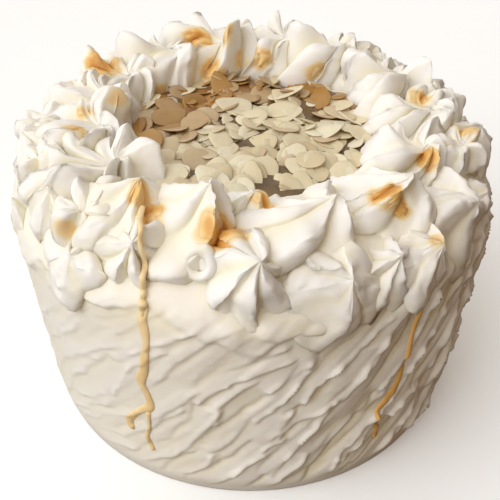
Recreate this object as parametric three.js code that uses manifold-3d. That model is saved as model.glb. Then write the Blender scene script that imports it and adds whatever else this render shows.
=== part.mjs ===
// Almond cake: a tall round cake frosted in buttercream, with two rows of piped dollops round the
// top edge, a bed of flaked almonds inside them and caramel that has run down the side.
// Millimetres, +Z up, the front faces -Y, and the origin is the centre of the base.
import * as THREE from "three";
import { mergeVertices } from "three/addons/utils/BufferGeometryUtils.js";
import Module from "manifold-3d";

const wasm = await Module();
wasm.setup();

// Frosted body: radius and height of its outline, from the foot over the rounded shoulder.
const CAKE_HEIGHT = 135;
const BODY_OUTLINE = [
  [107.5, 0],
  [109.5, 10],
  [111, 27],
  [112.4, 46],
  [113.8, 65],
  [115, 84],
  [115.8, 101],
  [115, 113],
  [109, 125],
  [97, 132],
  [84, CAKE_HEIGHT],
];

// Spatula strokes: slanting scallops with a sharp crest between each two.
const STROKE_COUNT = 36;
const STROKE_SAMPLES = 3;
const STROKE_SLANT = 0.0075;
const STROKE_DEPTH = 3.8;
const STROKE_FOOT = 8;
const STROKE_TOP = 112;
const STROKE_FADE = 16;
const STROKE_WANDER = 0.16;

// Upper row: big twisted swirls on the flat top. Each point is pulled to the right of its middle.
// The front points are given by angle, radius and height; the others are spaced evenly.
const SWIRL_COUNT = 15;
const FRONT_SWIRLS = [[-121, 83, 20], [-100, 79, 22], [-67, 86, 17], [-43, 89, 18]];
const SWIRL_RING_RADIUS = 79;
const SWIRL_RING_SHIFT = 8;
const SWIRL_SIZE = 28.5;
const SWIRL_HEIGHT = 20;
const SWIRL_BACK_RISE = 0.4;
const SWIRL_LOBES = [6, 5, 6];
const SWIRL_LOBE_SAMPLES = [-0.24, 0.16, 0.5];
const SWIRL_TWIST = 65;
const SWIRL_DEPTH = 0.36;
const SWIRL_GROOVE = 4;
const SWIRL_TILT = 3;
const SWIRL_PULL = 17;

// Lower row: stars that hang on the shoulder and lean outwards.
// The front points are given by angle, pull to the right and drop; the others are spaced evenly.
const STAR_COUNT = 13;
const FRONT_STARS = [[-116, 6, 0], [-88.5, 2, 0], [-57, 11, 6], [-32.5, 10, 0]];
const STAR_RING_RADIUS = 101;
const STAR_RING_HEIGHT = 129;
const STAR_SIZE = 22.5;
const STAR_HEIGHT = 15;
const STAR_LOBES = [7, 7, 6];
const STAR_LOBE_SAMPLES = [0, 0.5];
const STAR_TWIST = 24;
const STAR_DEPTH = 0.38;
const STAR_GROOVE = 1.4;
const STAR_TILT = 48;
const STAR_DROOP = 3;
const STAR_PULL = 8;
const STAR_RAISE = 4;
const STAR_BACK_INSET = 4;
const STAR_BACK_RISE = 3;
const STAR_UPPER_SHORT = 0.2;

// Shape shared by all dollops.
const DOLLOP_LEVELS = [0, 0.22, 0.52, 0.8];
const DOLLOP_SINK = 14;
const DOLLOP_POINT = 3;
const DOLLOP_ROUNDING = 2;
const DOLLOP_UNDERCUT = 0.12;
const UNDERCUT_LEVEL = 0.2;
const LOBE_VARIATION = 0.12;
const PRESS_GAP = 0.4;
const BODY_GAP = 0.35;

// Almond bed: a low mound with whole flakes lying on it at all angles.
const BED_CENTRE = -2;
const BED_RADIUS = 54;
const BED_EDGE_HEIGHT = 1.2;
const BED_RISE = 1.4;
const BED_SIDES = 24;
const FLAKE_COUNT = 37;
const FLAKE_LENGTH = 17;
const FLAKE_WIDTH = 12.5;
const FLAKE_THICKNESS = 1.3;
const FLAKE_SIDES = 7;
const FLAKE_TILT = 15;
const FLAKE_LIFT = 2.8;
const GOLDEN_ANGLE = Math.PI * (3 - Math.sqrt(5));

// Caramel runs on the side: angle in degrees and height along each run.
const RUN_WIDTH = 6.4;
const RUN_THICKNESS = 2.6;
const RUN_SIDES = 5;
const LEFT_RUN = [[-117, 99], [-118, 84], [-119.5, 64], [-118, 51], [-124, 41], [-125.5, 27]];
const LEFT_BRANCH = [[-118.4, 52], [-118.2, 36], [-116.5, 17]];
const RIGHT_RUN = [[-46, 94], [-49, 68], [-52, 42], [-54, 20]];

const BUTTERCREAM = 0xf3ece0;
const ALMOND = 0xdcc79a;

// A repeatable draw between 0 and 1 for a pair of whole numbers.
function draw(first, second) {
  const wave = Math.sin(first * 127.1 + second * 311.7 + 74.7) * 43758.5453;
  return wave - Math.floor(wave);
}

// A repeatable draw between -1 and 1.
function spread(first, second) {
  return 2 * draw(first, second) - 1;
}

function radians(degrees) {
  return THREE.MathUtils.degToRad(degrees);
}

// A closed surface through rings of equal length, each end closed to its middle point.
function loft(rings) {
  const count = rings[0].length;
  const points = rings.flat();
  const faces = [];
  for (let row = 0; row + 1 < rings.length; row += 1) {
    for (let column = 0; column < count; column += 1) {
      const next = (column + 1) % count;
      const low = row * count;
      const high = low + count;
      faces.push(low + column, low + next, high + next);
      faces.push(low + column, high + next, high + column);
    }
  }
  const lastRow = (rings.length - 1) * count;
  const lowMiddle = points.push(middleOf(rings[0])) - 1;
  const highMiddle = points.push(middleOf(rings[rings.length - 1])) - 1;
  for (let column = 0; column < count; column += 1) {
    const next = (column + 1) % count;
    faces.push(lowMiddle, next, column);
    faces.push(highMiddle, lastRow + column, lastRow + next);
  }
  const geometry = new THREE.BufferGeometry().setFromPoints(points);
  geometry.setIndex(faces);
  return geometry;
}

function middleOf(ring) {
  const middle = new THREE.Vector3();
  ring.forEach((point) => middle.add(point));
  return middle.divideScalar(ring.length);
}

function toSolid(geometry) {
  const bare = geometry.clone();
  bare.deleteAttribute("normal");
  bare.deleteAttribute("uv");
  const merged = mergeVertices(bare);
  const vertProperties = new Float32Array(merged.attributes.position.array);
  const triVerts = new Uint32Array(merged.index.array);
  return new wasm.Manifold(new wasm.Mesh({ numProp: 3, vertProperties, triVerts }));
}

// The largest closed body of a solid: loose scraps and sealed hollows are left behind.
function mainBody(solid) {
  const bodies = solid.decompose();
  return bodies.reduce((best, body) => (body.volume() > best.volume() ? body : best));
}

function toGeometry(solid) {
  const mesh = solid.getMesh();
  const geometry = new THREE.BufferGeometry();
  geometry.setAttribute("position", new THREE.BufferAttribute(mesh.vertProperties, mesh.numProp));
  geometry.setIndex(new THREE.BufferAttribute(mesh.triVerts, 1));
  const faceted = geometry.toNonIndexed();
  faceted.computeVertexNormals();
  return faceted;
}

function namedMesh(name, solid, colour) {
  const material = new THREE.MeshStandardMaterial({ color: colour, roughness: 0.6 });
  const mesh = new THREE.Mesh(toGeometry(solid), material);
  mesh.name = name;
  return mesh;
}

// How strongly the strokes show: full over the middle of the side, none at the foot and shoulder.
function strokeStrength(height) {
  const fromFoot = THREE.MathUtils.smoothstep(height, STROKE_FOOT, STROKE_FOOT + STROKE_FADE);
  const fromTop = 1 - THREE.MathUtils.smoothstep(height, STROKE_TOP - STROKE_FADE, STROKE_TOP);
  return fromFoot * fromTop;
}

// Height of the frosting over its outline at a place across one stroke, 0 and 1 being its crests.
function strokeRelief(stroke, across, height) {
  const broken = 0.62 + 0.38 * Math.sin(height * (0.09 + 0.05 * draw(stroke, 2)) + 6 * draw(stroke, 3));
  const depth = STROKE_DEPTH * (0.6 + 0.4 * draw(stroke, 1)) * broken;
  const fromValley = 2 * across - 1;
  return depth * (fromValley * fromValley - 0.35) * strokeStrength(height);
}

// One ring of the body. Its points follow the slant of the strokes from level to level.
function bodyRing(radius, height, relief) {
  const ring = [];
  for (let stroke = 0; stroke < STROKE_COUNT; stroke += 1) {
    for (let sample = 0; sample < STROKE_SAMPLES; sample += 1) {
      const across = sample / STROKE_SAMPLES;
      const wander = across === 0 ? STROKE_WANDER * spread(stroke, 5) : 0;
      const turn = (stroke + across + wander) / STROKE_COUNT;
      const angle = 2 * Math.PI * turn + STROKE_SLANT * height;
      const reach = radius + relief(stroke, across, height);
      ring.push(new THREE.Vector3(reach * Math.cos(angle), reach * Math.sin(angle), height));
    }
  }
  return ring;
}

function bodySolid() {
  return toSolid(loft(BODY_OUTLINE.map(([radius, height]) => bodyRing(radius, height, strokeRelief))));
}

// The body a little enlarged: what the dollops are cut with so that they fit over it.
function bodyClearance() {
  const enlarged = (stroke, across, height) => strokeRelief(stroke, across, height) + BODY_GAP;
  const rings = BODY_OUTLINE.map(([radius, height]) => bodyRing(radius, height, enlarged));
  rings[rings.length - 1].forEach((point) => point.setZ(CAKE_HEIGHT + BODY_GAP));
  return toSolid(loft(rings));
}

function bodyRadiusAt(height) {
  const upper = Math.max(1, BODY_OUTLINE.findIndex(([, level]) => level >= height));
  const [lowRadius, lowLevel] = BODY_OUTLINE[upper - 1];
  const [highRadius, highLevel] = BODY_OUTLINE[upper];
  return THREE.MathUtils.mapLinear(height, lowLevel, highLevel, lowRadius, highRadius);
}

// A flattened run of caramel along the side, thickest at its lower end.
function runSolid(places) {
  const onSide = places.map(([angle, height]) => {
    const radius = bodyRadiusAt(height);
    return new THREE.Vector3(radius * Math.cos(radians(angle)), radius * Math.sin(radians(angle)), height);
  });
  const path = new THREE.CatmullRomCurve3(onSide);
  const steps = places.length + 2;
  const rings = [];
  for (let step = 0; step <= steps; step += 1) {
    const centre = path.getPoint(1 - step / steps);
    const along = path.getTangent(1 - step / steps).negate();
    const outward = new THREE.Vector3(centre.x, centre.y, 0).normalize();
    const sideways = new THREE.Vector3().crossVectors(along, outward).normalize();
    const swelling = 0.72 + 0.28 * Math.cos((Math.PI * step) / steps) + 0.12 * spread(step, places.length);
    const taper = step === 0 || step === steps ? 0.45 : 1;
    const ring = [];
    for (let side = 0; side < RUN_SIDES; side += 1) {
      const turn = (2 * Math.PI * side) / RUN_SIDES;
      const offset = outward.clone().multiplyScalar(Math.cos(turn) * RUN_THICKNESS * swelling * taper);
      offset.addScaledVector(sideways, Math.sin(turn) * 0.5 * RUN_WIDTH * swelling * taper);
      ring.push(centre.clone().add(offset));
    }
    rings.push(ring);
  }
  return toSolid(loft(rings));
}

function frostedCake() {
  let cake = bodySolid();
  for (const places of [LEFT_RUN, LEFT_BRANCH, RIGHT_RUN]) {
    cake = cake.add(runSolid(places));
  }
  return mainBody(cake);
}

// Radius of a dollop at a level from 0 at its foot to 1 at its point, as a share of its size.
function dollopOutline(level) {
  const low = Math.max(0, 1 - level / UNDERCUT_LEVEL);
  return (1 - Math.pow(level, DOLLOP_ROUNDING)) * (1 - DOLLOP_UNDERCUT * low * low);
}

// One ring of a dollop in its own frame: sharp lobes with rounded grooves, turned as it rises.
function dollopRing(shape, level, sink) {
  const ring = [];
  for (let lobe = 0; lobe < shape.lobes; lobe += 1) {
    const reach = 1 - LOBE_VARIATION * draw(shape.seed, lobe);
    for (const across of shape.samples) {
      const groove = Math.abs(Math.sin(Math.PI * across)) ** shape.groove;
      const share = (lobe + across) / shape.lobes;
      const start = shape.phase + 2 * Math.PI * share;
      const tail = 1 + shape.tail * Math.max(-0.4, Math.cos(start - shape.tailTurn));
      const short = 1 - shape.upperShort * Math.max(0, -Math.cos(start));
      const radius = shape.size * dollopOutline(level) * (reach * tail * short - shape.depth * groove);
      const turn = start + radians(shape.twist) * level;
      const x = radius * Math.cos(turn) + shape.leanX * level * level;
      const y = radius * Math.sin(turn) + shape.leanY * level * level;
      const overhang = Math.max(0, x / shape.size);
      const point = DOLLOP_POINT * Math.pow(level, 8);
      const z = shape.height * level + point - shape.droop * overhang * overhang - sink;
      ring.push(new THREE.Vector3(x, y, z));
    }
  }
  return ring;
}

function dollopGeometry(shape) {
  const rings = [dollopRing(shape, 0, DOLLOP_SINK)];
  DOLLOP_LEVELS.forEach((level) => rings.push(dollopRing(shape, level, 0)));
  const geometry = loft(rings);
  const tip = geometry.attributes.position;
  const last = tip.count - 1;
  tip.setXYZ(last, shape.leanX, shape.leanY, shape.height + DOLLOP_POINT);
  return geometry;
}

// Where a dollop stands: out from the axis, up, and leaning outwards.
function dollopPlace(angle, radius, height, tilt) {
  const place = new THREE.Matrix4().makeRotationZ(radians(angle));
  place.multiply(new THREE.Matrix4().makeTranslation(radius, 0, height));
  return place.multiply(new THREE.Matrix4().makeRotationY(radians(tilt)));
}

function dollop(name, shape, place) {
  const solid = toSolid(dollopGeometry(shape).applyMatrix4(place));
  const foot = new THREE.Vector3().applyMatrix4(place);
  const heart = new THREE.Vector3(0, 0, 0.35 * shape.height).applyMatrix4(place);
  const tip = new THREE.Vector3(shape.leanX, shape.leanY, shape.height).applyMatrix4(place);
  const axis = tip.sub(foot).normalize();
  return { name, solid, heart, axis, size: shape.size };
}

function twoDigits(number) {
  return String(number).padStart(2, "0");
}

// Angle for a dollop of a row behind its front ones, spaced evenly from the last of them to the first.
function spacedAngle(front, count, index) {
  const last = front[front.length - 1][0];
  const step = (360 + front[0][0] - last) / (count - front.length + 1);
  return last + step * (index - front.length + 1);
}

function swirlPeak(index) {
  if (index < FRONT_SWIRLS.length) return FRONT_SWIRLS[index];
  const angle = spacedAngle(FRONT_SWIRLS, SWIRL_COUNT, index) + 2.5 * spread(index, 17);
  const radius = SWIRL_RING_RADIUS + SWIRL_RING_SHIFT * Math.cos(radians(angle)) + 1.5 * spread(index, 18);
  const behind = Math.sqrt(Math.max(0, Math.sin(radians(angle))));
  return [angle, radius, SWIRL_HEIGHT * (1 + 0.13 * spread(index, 12) + SWIRL_BACK_RISE * behind)];
}

function swirl(index) {
  const [peakAngle, peakRadius, height] = swirlPeak(index);
  const across = Math.cos(radians(peakAngle));
  const pull = SWIRL_PULL * (1 - 0.4 * Math.max(0, across) ** 2 + 0.3 * Math.min(0, across));
  const x = peakRadius * across - pull;
  const y = peakRadius * Math.sin(radians(peakAngle));
  const turn = Math.atan2(y, x);
  const shape = {
    seed: 100 + index,
    lobes: SWIRL_LOBES[index % SWIRL_LOBES.length],
    samples: SWIRL_LOBE_SAMPLES,
    size: SWIRL_SIZE * (1 + 0.1 * spread(index, 11)),
    height,
    twist: SWIRL_TWIST * (1 + 0.4 * spread(index, 13)),
    phase: 2 * Math.PI * draw(index, 14),
    depth: SWIRL_DEPTH,
    groove: SWIRL_GROOVE,
    droop: 0,
    tail: 0.2 - 0.12 * Math.max(0, across),
    tailTurn: radians(180 + 25 * spread(index, 20)) - turn,
    upperShort: 0,
    leanX: pull * Math.cos(turn),
    leanY: -pull * Math.sin(turn),
  };
  const tilt = SWIRL_TILT + 5 * spread(index, 19);
  const place = dollopPlace(THREE.MathUtils.radToDeg(turn), Math.hypot(x, y), CAKE_HEIGHT, tilt);
  return dollop("swirl_" + twoDigits(index + 1), shape, place);
}

function starPeak(index) {
  if (index < FRONT_STARS.length) return FRONT_STARS[index];
  const angle = spacedAngle(FRONT_STARS, STAR_COUNT, index) + 2 * spread(index, 27);
  return [angle, STAR_PULL + 3 * spread(index, 26), 2 * spread(index, 28)];
}

function star(index) {
  const [peakAngle, pull, drop] = starPeak(index);
  const peakTurn = radians(peakAngle);
  const aside = Math.abs(Math.sin(peakTurn));
  const behind = Math.max(0, Math.sin(peakTurn));
  const x = STAR_RING_RADIUS * Math.cos(peakTurn) - pull * aside;
  const y = STAR_RING_RADIUS * Math.sin(peakTurn);
  const shape = {
    seed: 200 + index,
    lobes: STAR_LOBES[index % STAR_LOBES.length],
    samples: STAR_LOBE_SAMPLES,
    size: STAR_SIZE * (1 + 0.08 * spread(index, 21)),
    height: STAR_HEIGHT * (1 + 0.1 * spread(index, 22)),
    twist: STAR_TWIST * spread(index, 23),
    phase: 2 * Math.PI * draw(index, 24),
    depth: STAR_DEPTH,
    groove: STAR_GROOVE,
    droop: STAR_DROOP,
    tail: 0.14 + 0.012 * pull,
    tailTurn: radians(70 * Math.sin(peakTurn) + 20 * spread(index, 30)),
    upperShort: STAR_UPPER_SHORT,
    leanX: pull * Math.cos(peakTurn) * aside - STAR_RAISE,
    leanY: -pull * Math.sin(peakTurn),
  };
  const angle = THREE.MathUtils.radToDeg(Math.atan2(y, x));
  const radius = STAR_RING_RADIUS - STAR_BACK_INSET * behind;
  const height = STAR_RING_HEIGHT + STAR_BACK_RISE * behind - drop;
  const place = dollopPlace(angle, radius, height, STAR_TILT + 6 * spread(index, 29));
  return dollop("star_" + twoDigits(index + 1), shape, place);
}

// A large block with one face on the given plane, filling the side its normal points to.
function blockBeyond(point, normal) {
  const edge = 8 * SWIRL_SIZE;
  const block = new THREE.BoxGeometry(edge, edge, edge).translate(0, 0, edge / 2);
  const turn = new THREE.Quaternion().setFromUnitVectors(new THREE.Vector3(0, 0, 1), normal);
  return toSolid(block.applyQuaternion(turn).translate(point.x, point.y, point.z));
}

// A dollop trimmed to a flat face against each neighbour, as soft dollops press together.
// The face runs along the way both of them lean, so that each keeps its own point.
function pressed(piece, others) {
  let solid = piece.solid;
  for (const other of others) {
    const axis = new THREE.Vector3().addVectors(piece.axis, other.axis).normalize();
    const apart = new THREE.Vector3().subVectors(other.heart, piece.heart);
    apart.addScaledVector(axis, -apart.dot(axis));
    const distance = apart.length();
    if (other === piece || distance > piece.size + other.size) continue;
    const share = 0.5 + (piece.size ** 2 - other.size ** 2) / (2 * distance ** 2);
    const normal = apart.clone().divideScalar(distance);
    const point = piece.heart.clone().addScaledVector(normal, share * distance - PRESS_GAP / 2);
    solid = solid.subtract(blockBeyond(point, normal));
  }
  return solid;
}

// The space over the almond bed, which the dollops keep clear of.
function bedClearance() {
  const reach = BED_RADIUS + PRESS_GAP;
  const top = CAKE_HEIGHT + 2 * SWIRL_HEIGHT;
  return toSolid(loft([circleRing(reach, CAKE_HEIGHT, BED_SIDES), circleRing(reach, top, BED_SIDES)]));
}

function dollopMeshes() {
  const pieces = [];
  for (let index = 0; index < SWIRL_COUNT; index += 1) pieces.push(swirl(index));
  for (let index = 0; index < STAR_COUNT; index += 1) pieces.push(star(index));
  const clearance = bodyClearance().add(bedClearance());
  return pieces.map((piece) => {
    const fitted = mainBody(pressed(piece, pieces).subtract(clearance));
    return namedMesh(piece.name, fitted, BUTTERCREAM);
  });
}

function bedHeight(radius) {
  const share = radius / BED_RADIUS;
  return CAKE_HEIGHT + BODY_GAP + BED_EDGE_HEIGHT + BED_RISE * (1 - share * share);
}

function circleRing(radius, height, count) {
  return Array.from({ length: count }, (_, index) => {
    const angle = (2 * Math.PI * index) / count;
    return new THREE.Vector3(BED_CENTRE + radius * Math.cos(angle), radius * Math.sin(angle), height);
  });
}

function bedCore() {
  const rings = [circleRing(BED_RADIUS, CAKE_HEIGHT + BODY_GAP, BED_SIDES)];
  for (const share of [1, 0.6]) {
    rings.push(circleRing(BED_RADIUS * share, bedHeight(BED_RADIUS * share), BED_SIDES));
  }
  return toSolid(loft(rings));
}

// An egg-shaped slice, flat on both faces.
function flakeGeometry(length, width) {
  const rings = [-0.5, 0.5].map((face) =>
    Array.from({ length: FLAKE_SIDES }, (_, index) => {
      const turn = (2 * Math.PI * index) / FLAKE_SIDES;
      const narrowing = 1 - 0.24 * Math.cos(turn);
      const x = 0.5 * length * Math.cos(turn);
      const y = 0.5 * width * Math.sin(turn) * narrowing;
      return new THREE.Vector3(x, y, face * FLAKE_THICKNESS);
    }),
  );
  return loft(rings);
}

// Flakes are spread evenly in a spiral and keep inside the mound's edge.
function flakePlace(index, length) {
  const reach = BED_RADIUS - 0.5 * length;
  const radius = reach * Math.sqrt((index + 0.5) / FLAKE_COUNT);
  const angle = index * GOLDEN_ANGLE;
  const height = bedHeight(radius) + FLAKE_LIFT * draw(index, 33);
  const turn = new THREE.Euler(
    radians(FLAKE_TILT * spread(index, 34)),
    radians(FLAKE_TILT * spread(index, 35)),
    2 * Math.PI * draw(index, 36),
    "ZXY",
  );
  const place = new THREE.Matrix4().makeRotationFromEuler(turn);
  return place.setPosition(BED_CENTRE + radius * Math.cos(angle), radius * Math.sin(angle), height);
}

function almondBed() {
  let bed = bedCore();
  for (let index = 0; index < FLAKE_COUNT; index += 1) {
    const length = FLAKE_LENGTH * (1 + 0.14 * spread(index, 31));
    const width = FLAKE_WIDTH * (1 + 0.14 * spread(index, 32));
    const flake = flakeGeometry(length, width).applyMatrix4(flakePlace(index, length));
    bed = bed.add(toSolid(flake));
  }
  return mainBody(bed.subtract(bodyClearance()));
}

const cake = new THREE.Group();
cake.name = "almond_cake";
cake.add(namedMesh("cake_body", frostedCake(), BUTTERCREAM));
cake.add(...dollopMeshes());
cake.add(namedMesh("almond_bed", almondBed(), ALMOND));

export default cake;
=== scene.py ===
import math

import bpy
import numpy as np
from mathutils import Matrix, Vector
from mathutils.kdtree import KDTree


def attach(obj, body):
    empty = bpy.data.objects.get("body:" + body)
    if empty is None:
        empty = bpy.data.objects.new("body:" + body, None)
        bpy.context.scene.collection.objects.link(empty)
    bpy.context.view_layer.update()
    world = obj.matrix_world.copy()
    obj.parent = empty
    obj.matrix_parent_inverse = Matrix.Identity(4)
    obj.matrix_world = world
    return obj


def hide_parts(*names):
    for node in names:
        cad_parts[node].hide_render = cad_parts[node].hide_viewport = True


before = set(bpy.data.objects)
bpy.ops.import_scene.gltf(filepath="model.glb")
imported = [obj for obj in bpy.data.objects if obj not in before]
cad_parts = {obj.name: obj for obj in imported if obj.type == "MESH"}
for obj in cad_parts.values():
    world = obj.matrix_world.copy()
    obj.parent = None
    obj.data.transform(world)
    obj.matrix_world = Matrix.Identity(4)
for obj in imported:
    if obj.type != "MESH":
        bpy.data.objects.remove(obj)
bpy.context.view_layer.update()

# Shapes below are in millimetres, with +Z up and the front at -Y. MM turns them into metres.
# Lumps are given by their depth, length and seed, and those that push a point any way also by how far
# apart the three parts of the push are read. Waves of a stroke have a seed for each stroke.
MM = 0.001

# Camera of the photograph: focal length in pixels of a 500 pixel frame, place and downward pitch.
FRAME_SIDE = 500
FOCAL = 800
CAMERA_BACK = 344.3
CAMERA_HEIGHT = 325.6
CAMERA_PITCH = math.radians(37.17)
SENSOR = 36
PIXEL_REACH = 2.5

# Frosted body: radius and height of its outline from the foot over the shoulder to the flat top.
CAKE_HEIGHT = 135
BODY_OUTLINE = (
    (107.0, 0), (109.5, 10), (111, 27), (112.4, 46), (113.8, 65), (115, 84),
    (115.8, 101), (115, 113), (109, 125), (97, 133), (80, 136), (60, 135), (30, 135),
)
OUTLINE_STEPS = 1200
SIDE_RADIUS = 113
SIDE_TOP = 118
BODY_COLUMNS = 640
SIDE_ROWS = 124
CROWN_ROWS = 18
BODY_LUMPS = ((0.8, 26, 5), (0.4, 9, 6))
FOOT_FADE = (3, 14)
CROWN_FADE = (112, 128)
# How far in from its ring's mean radius a point of the body lies where the painted shade of the hollows
# starts and where it is full.
HOLLOW_SHADE_RANGE = (-1.0, 1.4)

# Spatula strokes on the side, and how far each one strays from its row, slant and size.
STROKES_ROUND = 50
STROKE_ROWS = (14, 34, 54, 74, 94)
STROKE_ORDER = 71
STROKE_ANGLE = math.radians(49)
STROKE_LENGTH = 44
STROKE_WIDTH = 11.5
STROKE_RISE = 3.3
STROKE_LIP = 2.2
LIP_PLACE = 0.95
LIP_WIDTH = 0.26
LIP_TEAR = 6
STROKE_EDGE = 0.9
STROKE_END = 3
STROKE_WAVE = (1.5, 11)
STROKE_RIPPLE = (0.45, 3.5)
STROKE_END_WAVE = (3, 7)
STROKE_BOW = 2.2
STROKE_BOW_REACH = 16
STRAY_ROUND = 0.8
STRAY_UP = 11
STRAY_SLANT = 0.22
STRAY_LENGTH = 0.4
STRAY_WIDTH = 0.5
STRAY_LEVEL = 0.8
SLANT_SWAY = 0.13
DRAG_DEPTH = 0.55
DRAG_LENGTH = 8
DRAG_CELL = 2.8

# The strokes are weakest at the smooth left side and gain strength away from it.
SMOOTH_ANGLE = math.radians(-165)
SMOOTH_REACH = math.radians(32)
ROUGH_REACH = math.radians(125)
SMOOTH_STRENGTH = 0.18
ROUGH_GAIN = 1.02

# Shelf of frosting under the piped border, with a ragged lower edge. It covers part of the strokes.
SHELF_LEVEL = 108
SHELF_DEPTH = 2.0
SHELF_EDGE_LUMPS = ((12, 20, 8), (3, 6, 9))
SHELF_LUMPS = (0.8, 7, 10)
SHELF_COVER = 0.3

# Upper row of swirls. The front ones are angle and radius of the point, and height.
SWIRL_COUNT = 15
FRONT_SWIRLS = ((-121, 83, 20), (-100, 79, 22), (-67, 86, 17), (-43, 89, 18))
SWIRL_RING_RADIUS = 79
SWIRL_SIZE = 28.5
SWIRL_HEIGHT = 20
SWIRL_LOBES = (6, 5, 6)
BACK_LOBES = (8, 7, 9)
SWIRL_TWIST = 65
SWIRL_TILT = 3
SWIRL_PULL = 17

# Lower row of stars. The front ones are angle of the point, pull to the right, drop, lobes and size.
STAR_COUNT = 13
FRONT_STARS = ((-116, 6, 0, 7, 22.5), (-88.5, 2, 0, 7, 22.5), (-57, 11, 6, 6, 24), (-32.5, 14, 0, 5, 27))
STAR_RING_RADIUS = 101
STAR_RING_HEIGHT = 129
STAR_SIZE = 22.5
STAR_HEIGHT = 15
STAR_LOBES = (7, 7, 6)
STAR_TWIST = 24
STAR_TILT = 48
STAR_PULL = 8
STAR_RAISE = 4

# Form of a dollop in shares of its size: the depth of its grooves in all and at the rim, the curve of
# a lobe, unequal lobes, pleats, crests that lean over, petals that stand out at a level, a sunk middle,
# short lobes above the point, and the droop of its outer side in millimetres.
FRONT_SWIRL_FORM = {
    "depth": 0.38, "rim_depth": 0.55, "bulge": 1.2, "uneven": 0.22, "pleat": 0.025, "overhang": 0.24,
    "petal": 0.12, "petal_round": 1, "petal_level": 0.72, "sink": 0, "upper_short": 0.0, "droop": 0,
    "steep_first": True,
}
BACK_SWIRL_FORM = {
    **FRONT_SWIRL_FORM, "uneven": 0.34, "pleat": 0.04, "overhang": 0.32,
    "petal": 0.5, "petal_round": 2, "petal_level": 0.58, "sink": 0.42,
}
STAR_FORM = {
    **FRONT_SWIRL_FORM, "depth": 0.4, "rim_depth": 0.6, "bulge": 1.3, "uneven": 0.26, "pleat": 0.03,
    "overhang": 0.28, "petal": 0.1, "upper_short": 0.2, "droop": 3, "steep_first": False,
}

# Small ruffles that fill the shoulder between the stars.
RUFFLE_RING_RADIUS = 109
RUFFLE_RING_HEIGHT = 121.5
RUFFLE_SIZE = 20
RUFFLE_HEIGHT = 8.5
RUFFLE_LOBES = 5
RUFFLE_DEPTH = 0.32
RUFFLE_TWIST = 50
RUFFLE_TILT = 60
RUFFLE_RAISE = 4

# Ruffles between the two rows, on the right of each swirl behind the front ones.
FRILL_RING_RADIUS = 96
FRILL_RING_HEIGHT = 137
FRILL_SIZE = 17
FRILL_HEIGHT = 13
FRILL_LOBES = 6
FRILL_TWIST = 60
FRILL_TILT = 24

# Small dollop between two front swirls.
GAP_SWIRL = 2
GAP_ANGLE = -93
GAP_RADIUS = 68
GAP_SIZE = 15
GAP_HEIGHT = 9
GAP_LOBES = 6
GAP_PETAL = 0.3
GAP_LEAN = 4

# Curl of frosting left of the front star: photograph pixel, radius of its ring and of its thickness.
CURL_STAR = "star_02"
CURL_PIXEL = (197, 262)
CURL_RADIUS = 5
CURL_THICKNESS = 2.3
CURL_LUMPS = (0.7, 5, 43, 90)
CURL_COLUMNS = 64
CURL_SIDES = 20

# Dollop profile from the underside to the point: share of the size, share of the height.
DOLLOP_PROFILE = (
    (0.46, -0.62), (0.78, -0.42), (0.96, -0.16), (1.0, 0.06), (0.91, 0.28),
    (0.73, 0.48), (0.51, 0.67), (0.3, 0.83), (0.13, 0.95), (0.0, 1.03),
)
DOLLOP_ROWS = 46
LOBE_COLUMNS = 18
LOBE_SPREAD = 0.4
GENTLE_SHARE = 0.66
STEEP_CURVE = 0.85
DOLLOP_SWAY = (2.2, 13, 21, 500)
CREST_SHIVER = (1, 3.4, 22, 500)

# Painted shade where frosted pieces meet, tinted into the frosting's colour: full within the first distance,
# gone at the second.
CONTACT_FULL = 0.6
CONTACT_REACH = 5
CONTACT_SHADE = 0.75

# Light: a sky that is bright towards the upper left, warm and dim at the lower right, and a soft key.
KEY_AZIMUTH = math.radians(218)
KEY_ELEVATION = math.radians(38)
KEY_SPREAD = math.radians(50)
KEY_STRENGTH = 0.85
SKY_BRIGHT = (1.42, 1.36, 1.35)
SKY_HALF = (0.5, 0.46, 0.4)
SKY_MIDDLE = (0.2, 0.165, 0.11)
SKY_DIM = (0.11, 0.05, 0.005)
SKY_ZENITH = (0.46, 0.46, 0.46)
SKY_BACK = (0.85, 0.82, 0.76)
SKY_SIDE_TINT = (0.64, 0.43, 0.08)
SKY_RIGHT_TINT = (0.4, 0.16, 0.0)
WHITE = (1.0, 1.0, 1.0)
BLACK = (0.0, 0.0, 0.0)

# Caramel: photograph pixel of each pool, its radius on the frosting and its strength.
POOLS = (
    (223, 229, 13, 1.0), (143, 193, 9, 0.8), (385, 193, 8.5, 1.0), (266, 202, 7.5, 0.75),
    (150, 215, 9, 0.7), (428, 155, 9, 0.75), (420, 95, 9, 0.7), (468, 127, 8, 0.7),
    (105, 60, 13, 1.0), (120, 95, 8, 0.42), (195, 43, 12, 0.8), (222, 35, 8, 0.7),
    (210, 70, 9, 0.6), (262, 57, 9, 0.7), (315, 70, 8, 0.48), (72, 138, 9, 0.55),
    (62, 230, 7, 0.36), (160, 92, 7, 0.5), (345, 128, 8, 0.45), (400, 208, 8, 0.6),
    (240, 62, 8, 0.55), (80, 110, 7, 0.45), (440, 240, 6, 0.4),
)
POOL_LUMPS = (2.2, 6, 41, 90)
SHEET_EDGE = 0.42
SHEET_MARGIN = 0.12
SHEET_THICKNESS = 0.8
SHEET_SUNK = 0.35
SHEET_FULL = 0.5

# Pools out of the camera's sight: how many, and where they may lie on the outer side of the back.
BACK_POOLS = 11
BACK_POOL_Y = 45
BACK_POOL_RADIUS = 96
BACK_POOL_HEIGHT = 125

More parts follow.
